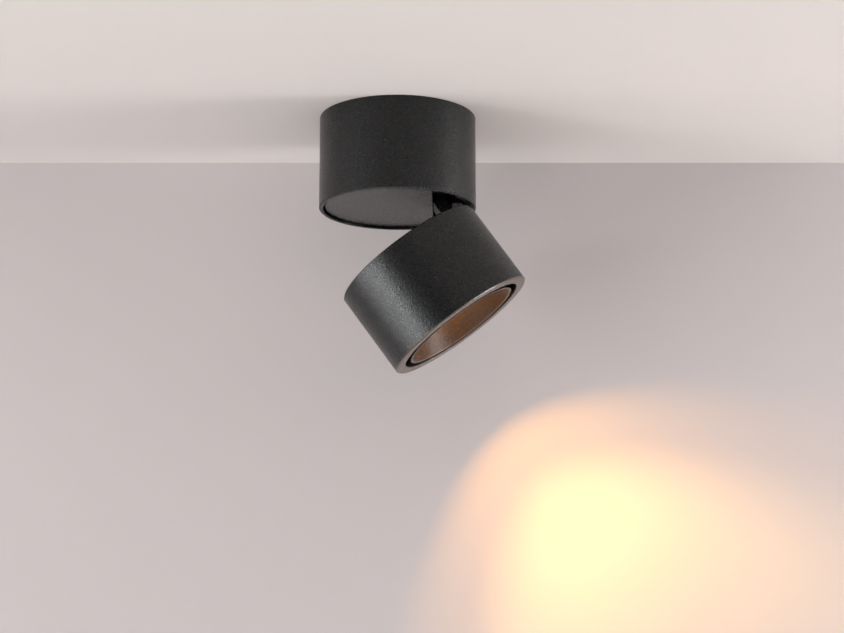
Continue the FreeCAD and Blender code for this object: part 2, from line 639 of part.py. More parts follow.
def head_shell():
    """The can shaped lamp housing: back, wall and front lip, with the hinge boss cast into
    the back corner and three lugs that carry the reflector."""
    shell = body("head_shell")
    inner = "headRadius - headWall"
    turned(shell, "head_wall", [[
        ("0", "0"), ("headRadius", "0"), ("headRadius", "-headLength"), ("lipInner", "-headLength"),
        ("lipInner", "lipThick - headLength"), (inner, "lipThick - headLength"),
        (inner, "-headBack"), ("0", "-headBack")]])
    pad(shell, "hinge_boss", [
        box_loop("hingeBossStart", inner + " + 0.5", "-hingeBossHalf", "hingeBossHalf")],
        "-hingeBossDepth", "-headBack / 2")
    lug_loop = [box_loop("-lugHalf", "lugHalf", "flangeRadius", inner + " + 1")]
    low_loop = [box_loop("-lugHalf", "lugHalf", "lugInner", "flangeRadius + 0.5")]
    seat = "-flangeAt - flangeThick"
    lug = pad(shell, "lug", lug_loop, seat, "-lugDepth")
    toe = pad(shell, "lug_toe", low_loop, "-flangeAt", "-lugDepth")
    thread = pocket(shell, "lug_thread", [("0", "ringScrewAt", "1.25")], seat, "-lugDepth - 1")
    ring_pattern(shell, "lugs", [lug, toe, thread], 3)
    pocket(shell, "knuckle_notch", [
        box_loop("notchStart", "headRadius + 1", "-notchHalf", "notchHalf")],
        "-notchDepth", "0")
    pocket(shell, "pin_drilling", [("pivotOut", "closedGap - pivotDrop", "pinRadius")],
           "-headRadius / 2", "pinHalf", "XZ_Plane")
    pocket(shell, "lead_hole", [("36.2", "0", "2.5")], "-headBack", "0")
    pocket(shell, "shroud_screw_holes", [("36.2", "5.4", "1"), ("36.2", "-5.4", "1")],
           "-headBack", "0")
    sink_holes = []
    sink_seats = []
    for x, y in SINK_SCREWS:
        sink_holes.append((x, y, "1.6"))
        sink_seats.append((x, y, "2.9"))
    pocket(shell, "sink_screw_holes", sink_holes, "-headBack", "0")
    pocket(shell, "sink_screw_seats", sink_seats, "-1.7", "0")
    bevelled(shell, "rear_edge", "headEdge",
            lambda edge: is_hoop(edge, DRIVING["headRadius"], 0) and edge.Length > 50)
    bevelled(shell, "front_edge", "headEdge",
            lambda edge: is_hoop(edge, DRIVING["headRadius"], -DRIVING["headLength"]))
    bevelled(shell, "lip_edge", "0.3",
            lambda edge: is_hoop(edge, DRIVING["lipInner"], -DRIVING["headLength"]))
    return keep(shell, "head")


SINK_SCREWS = [("-30", "0"), ("15", "26"), ("15", "-26")]


def heat_sink():
    """Cast disc with upright radial fins that reach the head's back, and three screw posts."""
    sink = body("heat_sink")
    face, back = "-sinkFace", "-sinkFace + sinkBase"
    pad(sink, "sink_disc", [("0", "0", "sinkRadius")], face, back)
    posts = [(x, y, "3.6") for x, y in SINK_SCREWS]
    pad(sink, "sink_posts", posts, back, "-headBack")
    doc.recompute()
    fin = pad(sink, "first_fin", [[
        ("finInner * cos(15 deg) - finHalf * sin(15 deg)",
         "finInner * sin(15 deg) + finHalf * cos(15 deg)"),
        ("finInner * cos(15 deg) + finHalf * sin(15 deg)",
         "finInner * sin(15 deg) - finHalf * cos(15 deg)"),
        ("finOuter * cos(15 deg) + finHalf * sin(15 deg)",
         "finOuter * sin(15 deg) - finHalf * cos(15 deg)"),
        ("finOuter * cos(15 deg) - finHalf * sin(15 deg)",
         "finOuter * sin(15 deg) + finHalf * cos(15 deg)")]], back, "-headBack")
    ring_pattern(sink, "fins", [fin], 23, 330)
    pocket(sink, "sink_threads", [(x, y, "1.5") for x, y in SINK_SCREWS],
           "-headBack - 8", "-headBack")
    pocket(sink, "lead_slot", [("36.2", "0", "2.5")], face, back)
    pocket(sink, "holder_threads", [("17.5", "0", "1.5"), ("-17.5", "0", "1.5")], face, back)
    keep(sink, "head")
    places = [(x, y, "-1.7") for x, y in SINK_SCREWS]
    keep(cap_screws("sink_screws", places, "2.7", "1.6", "1.5", "9"), "head")


def light_source():
    face = "-sinkFace"
    board_face = face + " - padThick - boardThick"
    thermal = body("thermal_pad")
    pad(thermal, "pad_disc", [("0", "0", "padRadius")], face + " - padThick", face)
    keep(thermal, "head")
    board = body("led_board")
    pad(board, "board_plate", [box_loop("-boardHalf", "boardHalf", "-boardHalf", "boardHalf")],
        board_face, face + " - padThick")
    keep(board, "head")
    chip = body("led_chip")
    pad(chip, "chip_disc", [("0", "0", "chipRadius")], board_face + " - chipThick", board_face)
    keep(chip, "head")
    holder = body("led_holder")
    turned(holder, "holder_section", [[
        ("padRadius + 0.2", face), ("holderRadius", face),
        ("holderRadius", face + " - holderHeight + 1"),
        ("holderRadius - 1", face + " - holderHeight"), ("holderMouth + 1", face + " - holderHeight"),
        ("holderMouth", face + " - holderHeight + 1"), ("holderMouth", board_face),
        ("padRadius + 0.2", board_face)]])
    pocket(holder, "holder_holes", [("17.5", "0", "1.6"), ("-17.5", "0", "1.6")],
           face + " - holderHeight", face)
    keep(holder, "head")
    places = [("17.5", "0", face + " - holderHeight"), ("-17.5", "0", face + " - holderHeight")]
    keep(cap_screws("holder_screws", places, "2.6", "1.6", "1.5", "holderHeight + sinkBase", True),
         "head")


def reflector():
    """Deep anti-glare cone from the light source to the mouth, with a flange half way out."""
    cone = body("reflector")
    throat = "-sinkFace - holderHeight"
    mouth = "-headLength + mouthRecess"
    turned(cone, "cone_section", [[
        ("throatRadius - reflectorWall", throat), ("throatRadius", throat), ("mouthRadius", mouth),
        ("mouthRadius - reflectorWall", mouth)]])
    slope = "(mouthRadius - throatRadius) / (headLength - mouthRecess - sinkFace - holderHeight)"
    wall_middle = ("throatRadius - reflectorWall / 2 + %s"
                   " * (flangeAt + flangeThick / 2 - sinkFace - holderHeight)" % slope)
    turned(cone, "flange_section", [[
        (wall_middle, "-flangeAt"), ("flangeRadius - 0.2", "-flangeAt"),
        ("flangeRadius - 0.2", "-flangeAt - flangeThick"),
        (wall_middle, "-flangeAt - flangeThick")]])
    keep(cone, "head")

    ring = body("retaining_ring")
    front = "-flangeAt - flangeThick"
    pad(ring, "ring_disc", [("0", "0", "ringOuter"), ("0", "0", "ringInner")],
        front + " - ringThick", front)
    hole = pocket(ring, "ring_hole", [("0", "ringScrewAt", "1.35")], front + " - ringThick", front)
    ring_pattern(ring, "ring_holes", [hole], 3)
    keep(ring, "head")
    places = []
    for turn in (90, 210, 330):
        places.append(("ringScrewAt * cos(%d deg)" % turn, "ringScrewAt * sin(%d deg)" % turn,
                       front + " - ringThick"))
    keep(cap_screws("ring_screws", places, "2.1", "1.4", "1.25", "ringThick + 5", True), "head")


# ---------------------------------------------------------------- build and write

mounting_bracket()
cable_grommet()
canopy_shell()
side_screws()
bridge_plate()
bridge_screws()
pan_stop_pin()
driver()
terminal_block()
rotor_tray()
lead_grommet()
swivel_stem()
swivel_stack()
hinge_ear()
hinge_pin()
lead_shroud()
head_shell()
heat_sink()
light_source()
reflector()
doc.recompute()

for item in doc.Objects:
    if {"Invalid", "Error"} & set(item.State):
        raise RuntimeError("%s did not build: %s" % (item.Label, item.State))
for node in NODES:
    if node.Shape.isNull() or not node.Shape.isValid():
        raise RuntimeError("%s has no sound solid" % node.Label)

os.makedirs("parts", exist_ok=True)
for node in NODES:
    node.Shape.exportStep(os.path.join("parts", node.Label + ".step"))
    box = node.Shape.BoundBox
    print("%-18s %2d solids %9.1f mm3  x %6.1f..%6.1f  y %6.1f..%6.1f  z %6.1f..%6.1f" % (
        node.Label, len(node.Shape.Solids), node.Shape.Volume,
        box.XMin, box.XMax, box.YMin, box.YMax, box.ZMin, box.ZMax))
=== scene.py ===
# %% [markdown]
# # A surface mounted ceiling spotlight
#
# The lamp is a black round can screwed to the ceiling. A swivel tray fills the can's mouth, and
# a lamp head of the same diameter hangs from one hinge at the tray's edge, so it can fold flush
# under the can or swing out to a right angle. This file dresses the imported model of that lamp:
# it loads the solids, gives every piece its finish, builds the small parts that a solid model
# leaves plain, and lights the whole as in a room. Everything is in metres, +Z is up, and the
# middle of the ceiling face of the can is the origin, so the lamp is all below zero.

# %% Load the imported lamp
import json
import math

import bpy
from mathutils import Matrix, Vector


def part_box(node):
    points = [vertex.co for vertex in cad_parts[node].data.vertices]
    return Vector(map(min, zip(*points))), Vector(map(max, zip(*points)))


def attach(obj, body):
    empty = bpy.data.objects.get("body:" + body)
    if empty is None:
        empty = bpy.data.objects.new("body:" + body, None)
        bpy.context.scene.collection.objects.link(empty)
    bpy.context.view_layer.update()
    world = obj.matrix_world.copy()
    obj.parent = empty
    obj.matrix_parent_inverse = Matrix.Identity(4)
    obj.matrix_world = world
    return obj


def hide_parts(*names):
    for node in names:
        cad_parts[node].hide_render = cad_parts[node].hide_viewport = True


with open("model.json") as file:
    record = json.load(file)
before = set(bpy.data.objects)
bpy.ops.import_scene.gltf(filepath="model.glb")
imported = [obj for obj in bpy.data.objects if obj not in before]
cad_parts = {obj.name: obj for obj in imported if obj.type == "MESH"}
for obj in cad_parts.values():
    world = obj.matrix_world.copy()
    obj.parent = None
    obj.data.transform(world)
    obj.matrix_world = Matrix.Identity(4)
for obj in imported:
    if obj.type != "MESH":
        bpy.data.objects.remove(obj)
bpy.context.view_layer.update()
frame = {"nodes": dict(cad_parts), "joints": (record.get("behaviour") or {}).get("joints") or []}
nodes = frame["nodes"]

# %% [markdown]
# ## Where the head hangs
#
# The lamp is packed as the photograph shows it, with the head folded out. Places on the head are
# easier to say for the closed lamp, where the head hangs straight under the can with a gap of a
# millimetre. The frame knows where the hinge pin is and how far the head can fold back from the
# photographed pose. Those two give the matrix that carries a place in the closed head, measured
# from its back, to its place in the picture.

# %% The head's own frame
CLOSED_BACK = Vector((0, 0, -0.061))

tilt_joint = next(joint for joint in frame["joints"] if joint["name"] == "tilt")
HINGE = Vector(tilt_joint["pos_m"])
TILT = math.radians(-tilt_joint["range_deg"][0])
FOLD_OUT = Matrix.Rotation(-TILT, 4, "Y")
HEAD_BACK = HINGE + FOLD_OUT @ (CLOSED_BACK - HINGE)
HEAD_AXIS = Vector((math.sin(TILT), 0, -math.cos(TILT)))
HEAD_FRAME = Matrix.Translation(HEAD_BACK) @ FOLD_OUT
print("head tilted %.1f degrees, its back at %.7f, %.7f"
      % (math.degrees(TILT), HEAD_BACK.x, HEAD_BACK.z))

# %% [markdown]
# ## The camera
#
# A photograph's camera can be guessed by eye, or worked out. Here the can gives it away: its
# upright edges lean together and its round mouth shows as an ellipse, and both depend on where
# the lens stood. Fitting a pinhole camera to those outlines puts it 1.3 metres in front of the
# lamp and 0.42 metres below the ceiling, looking up by 12.8 degrees through a long lens.

# %% Camera
PHOTO_WIDTH = 844
FOCAL_PIXELS = 2103.0
SENSOR_MM = 36.0
CAMERA_PLACE = (0.0366, -1.2918, -0.4234)
CAMERA_RISE = 12.8
CAMERA_TURN = 0.93

camera_data = bpy.data.cameras.new("camera")
camera_data.sensor_width = SENSOR_MM
camera_data.lens = FOCAL_PIXELS / PHOTO_WIDTH * SENSOR_MM
camera = bpy.data.objects.new("camera", camera_data)
camera.location = CAMERA_PLACE
camera.rotation_euler = (math.radians(90 + CAMERA_RISE), 0, math.radians(CAMERA_TURN))
bpy.context.collection.objects.link(camera)
bpy.context.scene.camera = camera
bpy.context.scene.view_settings.view_transform = "Standard"
print("lens %.1f mm" % camera_data.lens)

# %% [markdown]
# ## Small tools for materials
#
# A finish is a network of nodes. Writing each link by hand hides the idea, so one helper starts a
# material with its shader, and another adds a node with its settings. Numbers that are the same
# all over a surface are typed into the shader's own sockets, where other programs can read them.

# %% Node helpers


def new_finish(name):
    """A material with one Principled shader; returns the material, its tree and the shader."""
    material = bpy.data.materials.new(name)
    material.use_nodes = True
    tree = material.node_tree
    return material, tree, tree.nodes["Principled BSDF"]


def fill(node, values):
    """Fills a node's sockets: a value that is a socket is linked, any other is typed in."""
    for key, value in values.items():
        if isinstance(value, bpy.types.NodeSocket):
            node.id_data.links.new(value, node.inputs[key])
        else:
            node.inputs[key].default_value = value
    return node


def add_node(tree, kind, values=None, **settings):
    """Adds a node with its settings, and fills its sockets."""
    node = tree.nodes.new(kind)
    for key, value in settings.items():
        setattr(node, key, value)
    return fill(node, values or {})


# %% [markdown]
# ## Patterns and colours
#
# Most finishes here are made in the same way: a noise of a real size, turned into a colour or a
# roughness by a ramp, and into a relief by a bump. At scale 1 the lumps of the noise are about
# 0.6 wide, which is how a width becomes a scale. Its values lie mostly between 0.3 and 0.7, so a
# ramp between those two uses all of its colours.

# %% Pattern helpers
LUMP_WIDTH = 0.6
NOISE_LOW = 0.3
NOISE_HIGH = 0.7
ROUGH_NOISE = 0.6


def object_place(tree):
    """The piece's own coordinates, in metres, so a grain has a real size."""
    return add_node(tree, "ShaderNodeTexCoord").outputs["Object"]


def noise(tree, place, grain, detail=2.0, roughness=0.5):
    """Noise whose lumps are about as wide as the grain, in metres."""
    values = {"Vector": place, "Scale": LUMP_WIDTH / grain, "Detail": detail,
              "Roughness": roughness}
    return add_node(tree, "ShaderNodeTexNoise", values).outputs["Fac"]


def ramp(tree, value, low, high, start=NOISE_LOW, end=NOISE_HIGH):
    """A colour that goes from low to high while the value goes from start to end."""
    node = add_node(tree, "ShaderNodeValToRGB", {"Fac": value})
    stops = zip(node.color_ramp.elements, (start, end), (low, high))
    for element, position, colour in stops:
        element.position = position
        element.color = colour
    return node.outputs["Color"]


def mixed(tree, share, first, second, **settings):
    """A mix of two colours; share is how much of the second one shows."""
    values = {"Factor": share, "A": first, "B": second}
    return add_node(tree, "ShaderNodeMix", values, data_type="RGBA", **settings).outputs["Result"]


def bump(tree, height, depth, strength=1.0, before=None):
    """A bump of the given depth in metres; before is a bump that it adds to."""
    values = {"Strength": strength, "Distance": depth, "Height": height}
    if before is not None:
        values["Normal"] = before
    return add_node(tree, "ShaderNodeBump", values).outputs["Normal"]


def grey(level):
    return (level, level, level, 1)


def shade(colour, share=1.0):
    """An opaque colour, darkened to a share of itself."""
    return (*[share * part for part in colour], 1)


# %% [markdown]
# ## Sand textured powder coat
#
# The can, tray, head, front lip and reflector all wear the same paint: a black powder, baked on,
# that wrinkles into fine sand. Under side light the sand breaks the highlight into sparkling
# grains, which is what the photograph shows on the head's left third. An even bump would only
# blur the highlight, so three things change together: a fine bump for the grains, a softer one
# for the swell under them, and a roughness that is lower on some grains, the sparks, which then
# catch the light. Wide clouds keep the black from being the same everywhere.
#
# The tray has a slightly paler, finer and shinier skin. The reflector has a duller one, because it
# is there to stop glare, and a paler, browner base whose brown is painted warm light from the gel.
# The flat front of the head and of the reflector carries a painted warm reflection, brown and
# shiny, so from 57.2 mm in front of the head's back on, a mask changes the finish.

# %% Front mask
FRONT_STARTS = 0.0572


def front_mask(tree, place):
    """1 on the flat front face of the head and of its reflector, 0 behind it."""
    along = add_node(tree, "ShaderNodeVectorMath", {0: place, 1: HEAD_AXIS},
                     operation="DOT_PRODUCT").outputs["Value"]
    start = HEAD_BACK.dot(HEAD_AXIS) + FRONT_STARTS
    return add_node(tree, "ShaderNodeMath", {0: along, 1: start},
                    operation="GREATER_THAN").outputs[0]


print("the flat front starts %.1f mm from the head's back" % (FRONT_STARTS * 1000))

# %% Powder coat
SWELL_PER_GRAIN = 2.2
SWELL_STRENGTH = 0.25
SPARK_PER_GRAIN = 0.8
SPARK_START = 0.42
SPARK_END = 0.66
SPARK_ROUGHNESS = 0.7
DULL_ROUGHNESS = 0.05
CLOUD_WIDTH = 0.02
CLOUD_SHADE = 0.7
CLOUD_SHARE = 0.35
COOL_SHEEN = (0.95, 0.985, 1.0, 1)


def powder_coat(name, dark, light, roughness, shine, grain=0.0006, depth=0.00024, front=None):
    """Black paint with sand of the given grain and depth, in metres; front is the colour and
    roughness on the flat front face, where that colour is a painted warm reflection."""
    material, tree, shader = new_finish(name)
    place = object_place(tree)
    grains = noise(tree, place, grain, detail=1.5, roughness=ROUGH_NOISE)
    swell = noise(tree, place, grain * SWELL_PER_GRAIN, detail=1.0)
    sparks = noise(tree, place, grain * SPARK_PER_GRAIN, detail=1.0)
    clouds = noise(tree, place, CLOUD_WIDTH, detail=3.0)

    colour = mixed(tree, CLOUD_SHARE, ramp(tree, swell, shade(dark), shade(light)),
                   ramp(tree, clouds, grey(CLOUD_SHADE), grey(1.0)), blend_type="MULTIPLY")
    gloss = ramp(tree, sparks, grey(roughness + DULL_ROUGHNESS),
                 grey(roughness * SPARK_ROUGHNESS), SPARK_START, SPARK_END)
    # On the flat front the colour becomes a painted warm reflection, and the roughness changes with
    # it.
    if front:
        reflection_mask = front_mask(tree, place)
        colour = mixed(tree, reflection_mask, colour, shade(front[0]))
        gloss = mixed(tree, reflection_mask, gloss, grey(front[1]))
    low = bump(tree, swell, depth, SWELL_STRENGTH)
    fill(shader, {"Base Color": colour, "Roughness": gloss,
                  "Normal": bump(tree, grains, depth, before=low),
                  "Specular IOR Level": shine, "Specular Tint": COOL_SHEEN})
    return material


# The front colour here is a painted warm reflection of the pool of light on the wall, browner and
# brighter than the paint.
coat = powder_coat("sand_black", (0.0020, 0.0023, 0.0024), (0.0046, 0.0051, 0.0053), 0.30, 0.42,
                   front=((0.062, 0.045, 0.036), 0.22))
satin = powder_coat("satin_black", (0.007, 0.0073, 0.0077), (0.012, 0.0125, 0.013), 0.27, 0.97,
                    grain=0.0005, depth=0.00018)
# The reflector's brown base is painted warm light from the gel, and its front colour is a painted
# highlight on the rim of its mouth.
glare_black_warm_lit = powder_coat("glare_black_warm_lit", (0.021, 0.013, 0.008), (0.032, 0.020, 0.013), 0.38, 0.14,
                          depth=0.00014, front=((0.06, 0.045, 0.035), 0.25))
print("made", coat.name, satin.name, glare_black_warm_lit.name)

# %% [markdown]
# ## Bare metals, plastics and rubber
#
# Behind the paint there are ordinary workshop materials. Zinc plated steel is bluish and slightly
# blotched, black oxide screws are dark with a soft sheen, cast aluminium is bright with a
# grainy skin, moulded plastic has a faint texture, and rubber is matt. Each gets its own
# small network: a colour that wanders a little, a roughness that wanders with it, and a bump
# at the size of the real grain.

# %% Metals
BLOTCH_SHADE = 0.82
BLOTCH_START = 0.35
BLOTCH_END = 0.65
GLOSS_SWING = 0.2


def metal(name, base, roughness, blotch, grain, depth):
    """Bare metal with blotches and a grain of the given widths, and the grain's depth."""
    material, tree, shader = new_finish(name)
    place = object_place(tree)
    blotches = noise(tree, place, blotch, detail=4.0, roughness=ROUGH_NOISE)
    skin = noise(tree, place, grain, detail=3.0, roughness=ROUGH_NOISE)
    colour = ramp(tree, blotches, shade(base, BLOTCH_SHADE), shade(base), BLOTCH_START, BLOTCH_END)
    gloss = ramp(tree, blotches, grey(roughness * (1 - GLOSS_SWING)),
                 grey(roughness * (1 + GLOSS_SWING)))
    fill(shader, {"Base Color": colour, "Metallic": 1.0, "Roughness": gloss,
                  "Normal": bump(tree, skin, depth)})
    return material


zinc = metal("zinc_steel", (0.56, 0.58, 0.60), 0.32, 0.006, 0.0004, 0.00001)
oxide = metal("black_oxide", (0.055, 0.055, 0.058), 0.38, 0.002, 0.0002, 0.00001)
cast = metal("cast_aluminium", (0.72, 0.73, 0.74), 0.42, 0.008, 0.0003, 0.00003)
brass = metal("brass_screw", (0.70, 0.50, 0.22), 0.30, 0.003, 0.0002, 0.00001)
print("made", zinc.name, oxide.name, cast.name, brass.name)

# %% Plastics and rubber
PATCH_WIDTH = 0.01
PATCH_SHADE = 0.88
SKIN_SWING = 0.05


def moulded(name, base, roughness, grain, depth):
    """Plastic or rubber with a moulded skin."""
    material, tree, shader = new_finish(name)
    place = object_place(tree)
    skin = noise(tree, place, grain, detail=3.0)
    patches = noise(tree, place, PATCH_WIDTH, detail=3.0)
    colour = ramp(tree, patches, shade(base, PATCH_SHADE), shade(base))
    gloss = ramp(tree, skin, grey(roughness - SKIN_SWING), grey(roughness + SKIN_SWING))
    fill(shader, {"Base Color": colour, "Roughness": gloss, "Normal": bump(tree, skin, depth)})
    return material


white_plastic = moulded("white_plastic", (0.80, 0.80, 0.77), 0.42, 0.0005, 0.00002)
nylon = moulded("natural_nylon", (0.72, 0.70, 0.62), 0.38, 0.0004, 0.00001)
rubber = moulded("black_rubber", (0.022, 0.022, 0.023), 0.75, 0.0005, 0.00003)
pad_grey = moulded("thermal_grey", (0.42, 0.43, 0.45), 0.8, 0.0006, 0.00004)
board_white = moulded("board_white", (0.82, 0.83, 0.82), 0.3, 0.0003, 0.000005)
print("made", white_plastic.name, nylon.name, rubber.name, pad_grey.name, board_white.name)

# %% [markdown]
# ## The light source
#
# A chip-on-board light source is a round pool of yellow phosphor gel over tiny blue dies. Switched
# on it is warm white. The gel itself shines here, so its glow moves with the head: it warms the
# reflector, whose brown base colour is painted warm light too, and it reaches the wall round the
# pool. The bright core of the pool comes from a spot lamp in front of the gel, which is set up with
# the other lamps and rides on the head too, because a lamp gives a cleaner pool than a small
# glowing surface.

# %% Phosphor
GEL_DARK = (0.85, 0.60, 0.10)
GEL_LIGHT = (0.95, 0.72, 0.18)
GEL_GRAIN = 0.0006
GEL_ROUGHNESS = 0.35
GLOW_COLOUR = (1.0, 0.49, 0.10, 1)
GLOW_STRENGTH = 950.0


def phosphor():
    """The shining gel of the light source, dotted where the dies lie under it."""
    material, tree, shader = new_finish("phosphor_gel")
    dots = noise(tree, object_place(tree), GEL_GRAIN, detail=2.0)
    fill(shader, {"Base Color": ramp(tree, dots, shade(GEL_DARK), shade(GEL_LIGHT)),
                  "Roughness": GEL_ROUGHNESS, "Emission Color": GLOW_COLOUR,
                  "Emission Strength": GLOW_STRENGTH})
    return material


gel = phosphor()
print("made", gel.name)

# %% [markdown]
# ## Painting the solids
#
# Each solid of the frame keeps its mesh and gets a finish. A list of which finish goes on which
# node reads like the parts list of the lamp.

# %% Finish list
FINISHES = {
    coat: ["canopy_shell", "head_shell", "hinge_ear", "lead_shroud", "retaining_ring"],
    satin: ["rotor_tray"],
    glare_black_warm_lit: ["reflector"],
    zinc: ["mounting_bracket", "bridge_plate", "pan_stop_pin", "hinge_pin", "pin_plug",
           "wave_washer", "lock_nut"],
    oxide: ["side_screws", "bridge_screws", "driver_screws", "stem_screws", "ear_screws",
            "shroud_screws", "sink_screws", "holder_screws", "ring_screws"],
    brass: ["terminal_screws"],
    cast: ["heat_sink", "swivel_stem"],
    board_white: ["led_board"],
    white_plastic: ["driver_case", "driver_lid", "terminal_block", "led_holder"],
    nylon: ["glide_washers", "hinge_washers"],
    rubber: ["cable_grommet", "lead_grommet"],
    pad_grey: ["thermal_pad"],
    gel: ["led_chip"],
}

for finish, names in FINISHES.items():
    for name in names:
        for material_slot in nodes[name].material_slots:
            material_slot.material = finish
print("painted", sum(len(names) for names in FINISHES.values()), "of", len(nodes), "nodes")

# %% [markdown]
# ## A workshop for repeated parts
#
# The lamp holds twenty-eight screws of ten kinds. They could be modelled one by one, or one could
# be copied by hand and stretched, but a stretched thread is a wrong thread. A Geometry Nodes tree
# is a small machine instead: it has named inputs for the sizes, and each row of sizes gives a
# right screw. The first helpers start a tree with its inputs, do sums in it, move what it makes
# and end it. The others run it on a few points and keep the result as a plain mesh, because only
# plain meshes travel to other programs.

# %% Tree helpers


def new_tree(name, inputs):
    """A Geometry Nodes tree with named inputs; returns it with its input and output nodes."""
    tree = bpy.data.node_groups.new(name, "GeometryNodeTree")
    for label, kind, value in inputs:
        socket = tree.interface.new_socket(name=label, in_out="INPUT",
                                           socket_type="NodeSocket" + kind)
        if value is not None:
            socket.default_value = value
    tree.interface.new_socket(name="Geometry", in_out="OUTPUT", socket_type="NodeSocketGeometry")
    return tree, tree.nodes.new("NodeGroupInput").outputs, tree.nodes.new("NodeGroupOutput")


def maths(tree, operation, *values):
    """One Math node; each value is a socket or a number."""
    return add_node(tree, "ShaderNodeMath", dict(enumerate(values)), operation=operation).outputs[0]


def vector(tree, x, y, z):
    return add_node(tree, "ShaderNodeCombineXYZ", {"X": x, "Y": y, "Z": z}).outputs[0]


def vertex_place(tree):
    """The place of each vertex, as one vector and as its X, Y and Z."""
    place = add_node(tree, "GeometryNodeInputPosition").outputs[0]
    return place, add_node(tree, "ShaderNodeSeparateXYZ", {0: place}).outputs


def moved(tree, geometry, **fields):
    """Set Position, with a Position or an Offset field."""
    values = {"Geometry": geometry, **{key.title(): field for key, field in fields.items()}}
    return add_node(tree, "GeometryNodeSetPosition", values).outputs[0]


def finished(tree, result, points, shape, finish, turn=None):
    """Ends a tree: the shape on every point, as real geometry, with its material."""
    values = {"Points": points, "Instance": shape}
    if turn is not None:
        values["Rotation"] = turn
    placed = add_node(tree, "GeometryNodeInstanceOnPoints", values).outputs[0]
    real = add_node(tree, "GeometryNodeRealizeInstances", {"Geometry": placed}).outputs[0]
    painted = add_node(tree, "GeometryNodeSetMaterial", {"Geometry": real, "Material": finish})
    fill(result, {0: painted.outputs[0]})
    return tree


# %% Mesh helpers


def grown(tree, points, sizes):
    """Runs a tree on some points and returns the plain mesh that it makes."""
    seeds = bpy.data.meshes.new("seeds")
    seeds.from_pydata(points, [], [])
    holder = bpy.data.objects.new("holder", seeds)
    bpy.context.collection.objects.link(holder)
    modifier = holder.modifiers.new("grow", "NODES")
    modifier.node_group = tree
    for item in tree.interface.items_tree:
        if item.item_type == "SOCKET" and item.in_out == "INPUT" and item.name in sizes:
            modifier[item.identifier] = sizes[item.name]
    depsgraph = bpy.context.evaluated_depsgraph_get()
    mesh = bpy.data.meshes.new_from_object(holder.evaluated_get(depsgraph))
    holder.modifiers.remove(modifier)
    bpy.data.objects.remove(holder)
    return mesh


def box_gap(mesh, node):
    """The most by which any side of a mesh's box leaves its solid's box, in metres."""
    low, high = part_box(node)
    gaps = []
    for axis in range(3):
        along = [vertex.co[axis] for vertex in mesh.vertices]
        gaps += [abs(min(along) - low[axis]), abs(max(along) - high[axis])]
    return max(gaps)


def fitted(name, mesh, body, slot, *stands_for):
    """Makes a finished mesh a piece of the lamp that moves with a body."""
    mesh.name = name
    made = bpy.data.objects.new(name, mesh)
    bpy.context.collection.objects.link(made)
    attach(made, body)
    for node in stands_for:
        print("%-19s %6d faces, leaves its solid's box by %.2f mm"
              % (name, len(mesh.polygons), box_gap(mesh, node) * 1000))
        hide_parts(node)


# %% [markdown]
# ## The screw machine
#
# A real cap screw is cold headed and rolled: a round head with fine knurls and an eased crown, a
# six sided socket, and a helical thread. The head starts as a cylinder whose every second
# vertex is drawn in, which makes the knurls, and its top bands are drawn in a little more,
# which makes the crown.

# %% Screw head
SCREW_INPUTS = [
    ("Geometry", "Geometry", None), ("Head Radius", "Float", 0.0026),
    ("Head Height", "Float", 0.002), ("Shank Radius", "Float", 0.0015),
    ("Shank Length", "Float", 0.008), ("Drive Radius", "Float", 0.0014),
    ("Pitch", "Float", 0.0005), ("Knurl", "Float", 0.035), ("Slotted", "Bool", False),
    ("Finish", "Material", None)]
KNURLS = 24
HEAD_BANDS = 6
CROWN_START = 0.8
CROWN_DRAW = 0.1


def drawn_in(tree, shape, place, draw, lift):
    """Draws a shape towards its axis by a factor, then lifts it."""
    spread = add_node(tree, "ShaderNodeVectorMath", {0: place, 1: vector(tree, draw, draw, 1.0)},
                      operation="MULTIPLY").outputs[0]
    return moved(tree, shape, position=spread, offset=vector(tree, 0.0, 0.0, lift))


def knurled_head(tree, given):
    """The head, standing on its seat."""
    height = given["Head Height"]
    barrel = add_node(tree, "GeometryNodeMeshCylinder",
                      {"Vertices": 2 * KNURLS, "Side Segments": HEAD_BANDS,
                       "Radius": given["Head Radius"], "Depth": height}).outputs["Mesh"]
    place, parts = vertex_place(tree)
    level = maths(tree, "ADD", maths(tree, "DIVIDE", parts["Z"], height), 0.5)
    crown = add_node(tree, "ShaderNodeMapRange",
                     {"Value": level, "From Min": CROWN_START, "From Max": 1.0,
                      "To Min": 1.0, "To Max": 1.0 - CROWN_DRAW}).outputs[0]
    parity = maths(tree, "MODULO", add_node(tree, "GeometryNodeInputIndex").outputs[0], 2.0)
    knurl = maths(tree, "SUBTRACT", 1.0, maths(tree, "MULTIPLY", parity, given["Knurl"]))
    draw = maths(tree, "MULTIPLY", crown, knurl)
    return drawn_in(tree, barrel, place, draw, maths(tree, "MULTIPLY", height, 0.5))


print("screw inputs:", [label for label, kind, value in SCREW_INPUTS])

# %% [markdown]
# ## Its socket or slot
#
# The socket is a Boolean cut, and a switch trades its hexagon for the bar of a slot. The sizes
# of the bar, and the depths of both cuts, are shares of the head's radius and height. A cutter
# stands half in the head, so it is made twice as deep as the cut that it leaves.

# %% Socket and slot
SOCKET_DEPTH = 0.7
SLOT_DEPTH = 0.55
SLOT_LENGTH = 2.4
SLOT_WIDTH = 0.36


